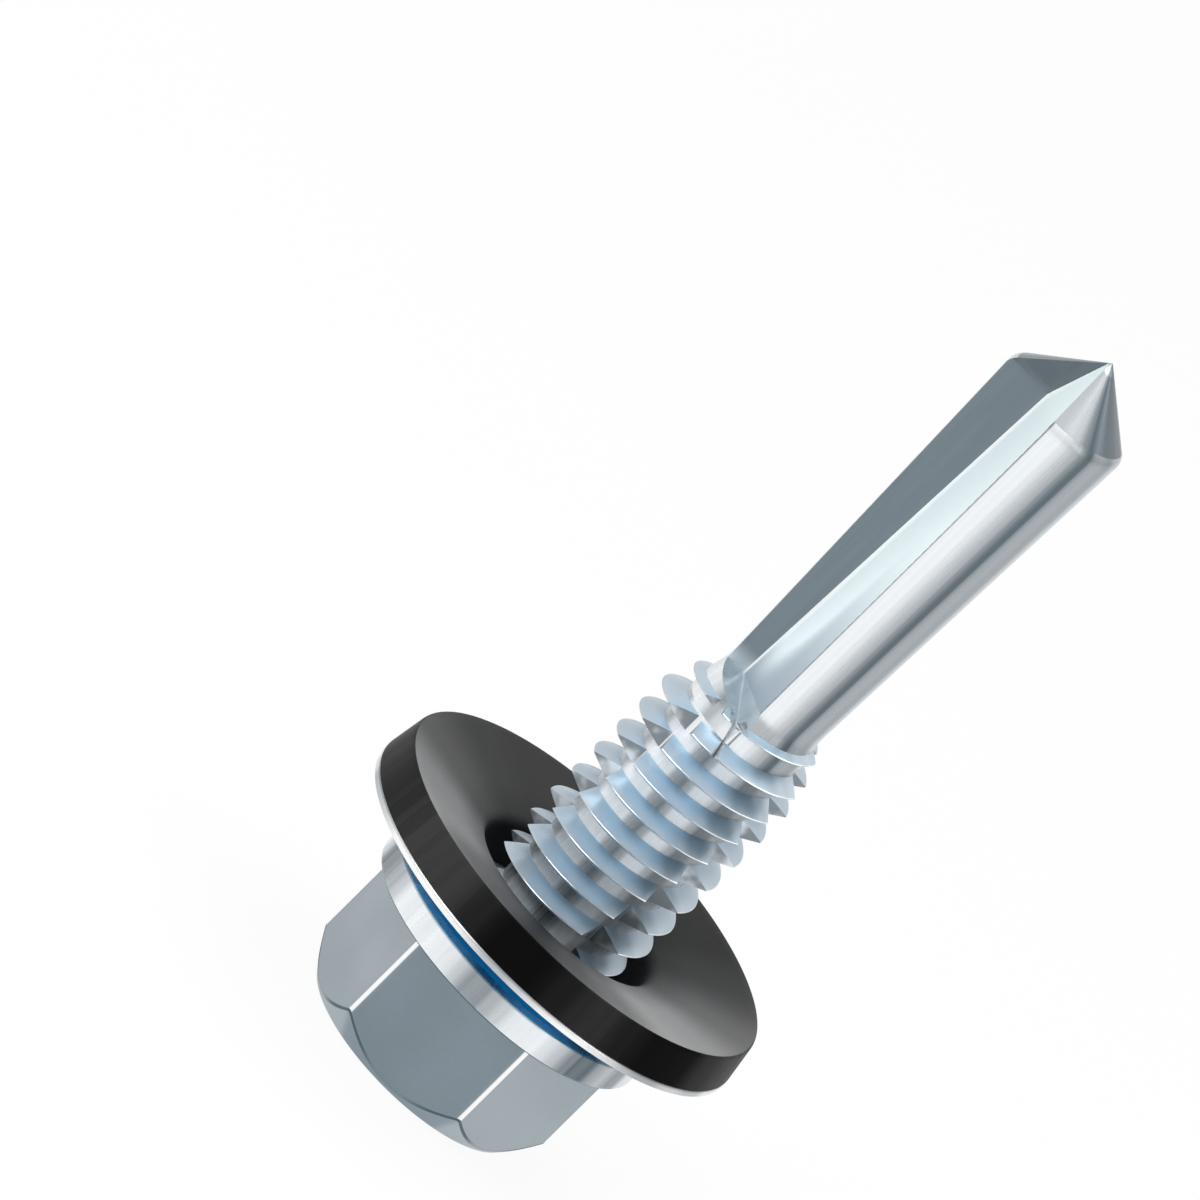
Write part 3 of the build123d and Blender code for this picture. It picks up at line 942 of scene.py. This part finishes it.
class SCREW_OT_thread(Operator):
    """Makes the stretches of thread between the notches"""

    bl_idname = "screw.thread"
    bl_label = "Thread"

    run_in = (0.45, 0.8)
    run_out = (0.88, 0.75, 0.52, 0.33, 0.14)

    def execute(self, context):
        settings = context.scene.drilling_screw
        size = settings.thread
        shank = settings.shank
        arc = 2 * np.pi / size.notches / (1 - size.notch_drift / (2 * np.pi))
        rise = size.pitch * arc / (2 * np.pi)
        count = round(size.span / rise)
        share = np.ones(count)
        share[: len(self.run_in)] = self.run_in
        share[-len(self.run_out) :] = self.run_out
        points = self.stretches(size, shank, arc, share)
        turn = size.first_angle + np.arange(count) * arc
        height = settings.head.seat + size.start + np.arange(count) * rise
        points = self.set_out(points, turn, height)
        stretches, rings, around = points.shape[:3]
        faces = []
        for index in range(stretches):
            faces += closed_strip(rings, around, first=index * rings * around)
        across = np.full(around, FLANK)
        # Painted highlight: the crest's rounding takes bright zinc as a thin light line.
        across[around // 2 - 2 : around // 2 + 2] = CREST
        zones = np.tile([*np.tile(across, rings - 1), NOTCH, NOTCH], stretches)
        finish = settings.finish
        finishes = [
            rolled_zinc(finish),
            self.notch_zinc(finish),
            *flute_finishes(finish),
            milled_zinc("crest_zinc", finish.bright),
        ]
        piece = place("screw_thread", points, faces, finishes, zones)
        carve(piece, *flute_cutter(settings))
        smooth(piece.data, 26)
        dress(piece, "screw", "screw")
        return {"FINISHED"}

    @staticmethod
    def stretches(size, shank, arc, share):
        """Points (stretch, along, profile, 3) as radius, angle and height about each stretch's middle.

        The profile is a V from the foot inside the core over the crest and back. A point at radius r runs
        along the angle from -w(r) to w(r), where w(r) is the angle at which the flat wall of the notch is r
        from the axis, and it rises by the pitch times the angle over a full turn.
        """
        reach = shank.root_radius + share * (size.crest_radius - shank.root_radius)
        core = np.where(share < 1, shank.end_radius, shank.root_radius)
        into_core = 0.06 * MM
        foot = core - into_core
        half = np.tan(size.flank) * (reach - foot)
        pairs = ((foot, -half), (reach, 0 * half), (foot, half))
        corners = np.stack([np.stack(pair, axis=1) for pair in pairs])
        line = rounded_line(corners, [size.crest_round], steps=4)
        profile = lay_points(line, 0.13 * MM).transpose(1, 0, 2)
        radius = profile[..., 0]
        foot_angle = arc / 2
        lip_angle = (arc - size.notch_width) / 2
        start = (core[:, None] - CLEAR) * np.exp(1j * foot_angle)
        lip = size.crest_radius * np.exp(1j * lip_angle)
        run = (lip - start) / np.abs(lip - start)
        along_run = -(start.conj() * run).real
        offset = np.sqrt(np.maximum(radius**2 - np.abs(start) ** 2 + along_run**2, 0))
        width = np.angle(start + run * (along_run + offset * np.sign((lip.conj() * run).real)))
        steps_along = 27
        angle_out = np.linspace(-1, 1, steps_along)[None, :, None] * width[:, None, :]
        height = profile[:, None, :, 1] + size.pitch * angle_out / (2 * np.pi)
        return np.stack(np.broadcast_arrays(radius[:, None, :], angle_out, height), axis=-1)

    @staticmethod
    def set_out(points, turn, height):
        """Turns and lifts each stretch to its own place and gives its points as x, y and z."""
        a = points[..., 1] + turn[:, None, None]
        x = points[..., 0] * np.cos(a)
        y = points[..., 0] * np.sin(a)
        return np.stack([x, y, points[..., 2] + height[:, None, None]], axis=-1)

    @staticmethod
    def notch_zinc(finish):
        """Zinc on the flat walls of the notches: pale and cloudy."""
        recipe = Recipe("notch_zinc", roughness=0.32, metallic=0.8)
        cloud = recipe.between(recipe.noise(1.2, 2.0), 0.45, 0.7)
        return recipe.paint(recipe.mix(cloud, finish.notch, finish.flank_edge))


def dish_corners(size, inner_radius, lift):
    """Corners of the plate's dish from its hole to its rim, lifted along the axis."""
    seat = PLATE_LOW[2] + lift
    return [
        (inner_radius, seat),
        (size.seat_radius, seat),
        (size.shoulder_radius, seat + size.dish),
        (size.radius, seat + size.dish),
    ]


def turned_ring(name, corners, cuts, finishes, gap=0.3 * MM, columns=240):
    """Ring of a closed outline turned round Z: the outline starts and ends at the middle of one run."""
    outline = np.array(corners)
    middle = (outline[-1] + outline[0]) / 2
    closed = np.concatenate([[middle], outline, [middle]])[:, None, :]
    line = lay_points(rounded_line(closed, cuts), gap)[:-1]
    angles = np.linspace(0, 2 * np.pi, columns, endpoint=False)
    points = turned(line, angles)
    faces = grid_quads(*points.shape[:2], wrap_rows=True)
    piece = place(name, points, faces, finishes)
    smooth(piece.data, 35)
    return piece


class SCREW_OT_plate(Operator):
    """Makes the dished steel plate of the washer"""

    bl_idname = "screw.plate"
    bl_label = "Washer plate"

    def execute(self, context):
        settings = context.scene.drilling_screw
        size = settings.washer
        lower = dish_corners(size, size.hole_radius, 0.0)
        upper = dish_corners(size, size.hole_radius, size.thickness)
        edge = 0.09 * MM
        cuts = [edge, size.bell_round, size.bell_round, edge]
        finishes = [pressed_zinc(settings.finish)]
        piece = turned_ring("washer_plate_steel", lower + upper[::-1], cuts + cuts, finishes)
        dress(piece, "washer", "washer_plate")
        return {"FINISHED"}


class SCREW_OT_seal(Operator):
    """Makes the rubber seal bonded under the plate"""

    bl_idname = "screw.seal"
    bl_label = "Washer seal"

    def execute(self, context):
        settings = context.scene.drilling_screw
        size = settings.washer
        upper = dish_corners(size, size.seal_hole, size.thickness)
        corners = upper + [
            (size.seal_radius, size.seal_face),
            (size.seal_radius - size.seal_land, size.seal_face),
            (size.seal_hole, size.seal_face - size.seal_lip),
        ]
        bell = size.bell_round
        cuts = [0.05 * MM, bell, bell, 0.05 * MM, 0.12 * MM, 0.5 * MM, 0.4 * MM]
        finishes = [
            moulded_rubber(settings.finish, "rubber_face", FACE_SHEEN, 0.1, 0.02),
            moulded_rubber(settings.finish, "rubber_side", SIDE_SHEEN, 0.03, 0.25),
        ]
        piece = turned_ring("washer_seal_rubber", corners, cuts, finishes)
        middles = np.array([face.center for face in piece.data.polygons])
        side = np.hypot(middles[:, 0], middles[:, 1]) > size.seal_radius - 0.04 * MM
        piece.data.polygons.foreach_set("material_index", side.astype(np.int32))
        dress(piece, "washer", "washer_seal")
        return {"FINISHED"}


def picture_axes(studio):
    """Right, up and back of the camera, turned so that the screw's axis slopes up to the right."""
    side = np.array([1.0, 0.0, 0.0])
    rise = np.array([0.0, np.sin(studio.elevation), np.cos(studio.elevation)])
    right = np.sin(studio.roll) * side + np.cos(studio.roll) * rise
    up = -np.cos(studio.roll) * side + np.sin(studio.roll) * rise
    return right, up, np.cross(right, up)


def add_lamp(name, azimuth, elevation, distance, size, power):
    """Square lamp that faces the middle of the screw; its azimuth counts from the front."""
    light = bpy.data.lights.new(name, "AREA")
    light.shape = "RECTANGLE"
    light.size, light.size_y = size
    light.energy = power
    a = np.radians(azimuth)
    e = np.radians(elevation)
    back = np.array([np.sin(a) * np.cos(e), -np.cos(a) * np.cos(e), np.sin(e)])
    right = np.array([np.cos(a), np.sin(a), 0.0])
    middle = np.array([0, 0, 15 * MM])
    lamp = add_object(name, light)
    lamp.matrix_world = axes_matrix(right, np.cross(back, right), back, middle + back * distance)


class SCREW_OT_camera(Operator):
    """Sets the camera at the picture's own angle"""

    bl_idname = "screw.camera"
    bl_label = "Camera"

    def execute(self, context):
        studio = context.scene.drilling_screw.studio
        right, up, back = picture_axes(studio)
        camera_data = bpy.data.cameras.new("camera")
        camera_data.lens = studio.lens
        camera_data.sensor_width = 36.0
        camera_data.clip_start = 0.01
        camera_data.clip_end = 20.0
        camera = add_object("camera", camera_data)
        distance = studio.width * studio.lens / camera_data.sensor_width
        stand = right * studio.right + up * studio.up + back * distance
        camera.matrix_world = axes_matrix(right, up, back, stand)
        context.scene.camera = camera
        return {"FINISHED"}


class SCREW_OT_stage(Operator):
    """Sets out the floor, the lamps and the surrounding light"""

    bl_idname = "screw.stage"
    bl_label = "Stage"

    def execute(self, context):
        scene = context.scene
        settings = scene.drilling_screw
        studio = settings.studio
        scene.view_settings.view_transform = "Standard"
        self.floor(settings)
        add_lamp("key_lamp", -48, 42, 0.16, (0.09, 0.09), studio.key)
        add_lamp("fill_lamp", 62, 26, 0.18, (0.07, 0.14), studio.fill)
        add_lamp("top_lamp", 150, 66, 0.16, (0.12, 0.12), studio.top)
        self.surround(scene, studio)
        return {"FINISHED"}

    @staticmethod
    def floor(settings):
        """Flat disc, drawn as rings of points round the origin at growing radii."""
        radii = np.array([0.02, 0.08, 0.3, 1.2, 4.0])
        columns = 64
        angles = np.linspace(0, 2 * np.pi, columns, endpoint=False)
        line = np.stack([radii, 0 * radii], axis=1)[:, None, :]
        points = turned(line, angles).reshape(-1, 3)
        faces = [np.arange(columns), *grid_quads(len(radii), columns)[:, ::-1]]
        mesh = bpy.data.meshes.new("floor")
        mesh.from_pydata(points.tolist(), [], [list(map(int, face)) for face in faces])
        recipe = Recipe("floor", roughness=0.9, metallic=0.0)
        cloud = recipe.between(recipe.noise(0.05, 2.0), 0.3, 0.7)
        paper = settings.finish.floor
        recipe.paint(recipe.mix(cloud, [c * 0.985 for c in paper], paper))
        rays = recipe.add("ShaderNodeLightPath").outputs
        seen = recipe.math("MAXIMUM", rays["Is Camera Ray"], rays["Is Glossy Ray"])
        seen = recipe.math("MAXIMUM", seen, rays["Is Transmission Ray"])
        white = recipe.add("ShaderNodeEmission", {"Color": (1, 1, 1, 1), "Strength": 1.0}).outputs[0]
        share = recipe.math("MULTIPLY", seen, 0.92)
        both = recipe.add("ShaderNodeMixShader", {0: share, 1: recipe.shader.outputs[0], 2: white})
        output = recipe.tree.nodes["Material Output"]
        recipe.tree.links.new(both.outputs[0], output.inputs["Surface"])
        mesh.materials.append(recipe.material)
        add_object("floor", mesh)

    @staticmethod
    def surround(scene, studio):
        """World that is grey at the horizon and white overhead, and plain white to the camera."""
        world = bpy.data.worlds.new("studio")
        scene.world = world
        world.use_nodes = True
        tree = world.node_tree
        tree.nodes.clear()

        def add(kind, inputs=None, **settings):
            return add_node(tree, kind, inputs, **settings)

        direction = add("ShaderNodeTexCoord").outputs["Generated"]
        depth, height = add("ShaderNodeSeparateXYZ", {0: direction}).outputs[1:]
        rise = add("ShaderNodeMapRange", {0: height, 1: 0.0, 2: 1.0, 3: 0.75, 4: 1.2}).outputs[0]
        behind = add("ShaderNodeMapRange", {0: depth, 1: -1.0, 2: 0.6, 3: 0.5, 4: 1.15}).outputs[0]
        both_ways = add("ShaderNodeMath", {0: rise, 1: behind}, operation="MULTIPLY").outputs[0]
        strength = add("ShaderNodeMath", {0: both_ways, 1: studio.world}, operation="MULTIPLY").outputs[0]
        lit = add("ShaderNodeBackground", {0: (0.97, 0.985, 1.0, 1.0), 1: strength})
        white = add("ShaderNodeBackground", {0: (1.0, 1.0, 1.0, 1.0), 1: 1.0})
        seen = add("ShaderNodeLightPath").outputs["Is Camera Ray"]
        both = add("ShaderNodeMixShader", {0: seen, 1: lit.outputs[0], 2: white.outputs[0]})
        add("ShaderNodeOutputWorld", {0: both.outputs[0]})


class SCREW_PT_panel(Panel):
    """Lists the makers of every piece"""

    bl_idname = "SCREW_PT_panel"
    bl_label = "Drilling screw"
    bl_space_type = "VIEW_3D"
    bl_region_type = "UI"
    bl_category = "Drilling screw"

    def draw(self, context):
        for maker in MAKERS:
            self.layout.operator(maker.bl_idname)
        for group in ("head", "shank", "thread", "flute", "washer", "finish", "studio"):
            box = self.layout.box()
            box.label(text=group.capitalize())
            values = getattr(context.scene.drilling_screw, group)
            for name in values.__annotations__:
                box.prop(values, name)


GROUPS = (HeadSizes, ShankSizes, ThreadSizes, FluteSizes, WasherSizes, Finishes, StudioSizes, ScrewSettings)
MAKERS = (
    SCREW_OT_camera,
    SCREW_OT_head,
    SCREW_OT_shank,
    SCREW_OT_thread,
    SCREW_OT_plate,
    SCREW_OT_seal,
    SCREW_OT_stage,
)


def register():
    for item in (*GROUPS, *MAKERS, SCREW_PT_panel):
        bpy.utils.register_class(item)
    bpy.types.Scene.drilling_screw = PointerProperty(type=ScrewSettings)


def unregister():
    del bpy.types.Scene.drilling_screw
    for item in reversed((*GROUPS, *MAKERS, SCREW_PT_panel)):
        bpy.utils.unregister_class(item)


def main():
    """Makes the whole screw and its stage."""
    register()
    bpy.ops.screw.camera()
    bpy.ops.screw.head()
    bpy.ops.screw.shank()
    bpy.ops.screw.thread()
    bpy.ops.screw.plate()
    bpy.ops.screw.seal()
    bpy.ops.screw.stage()


if __name__ == "__main__":
    main()
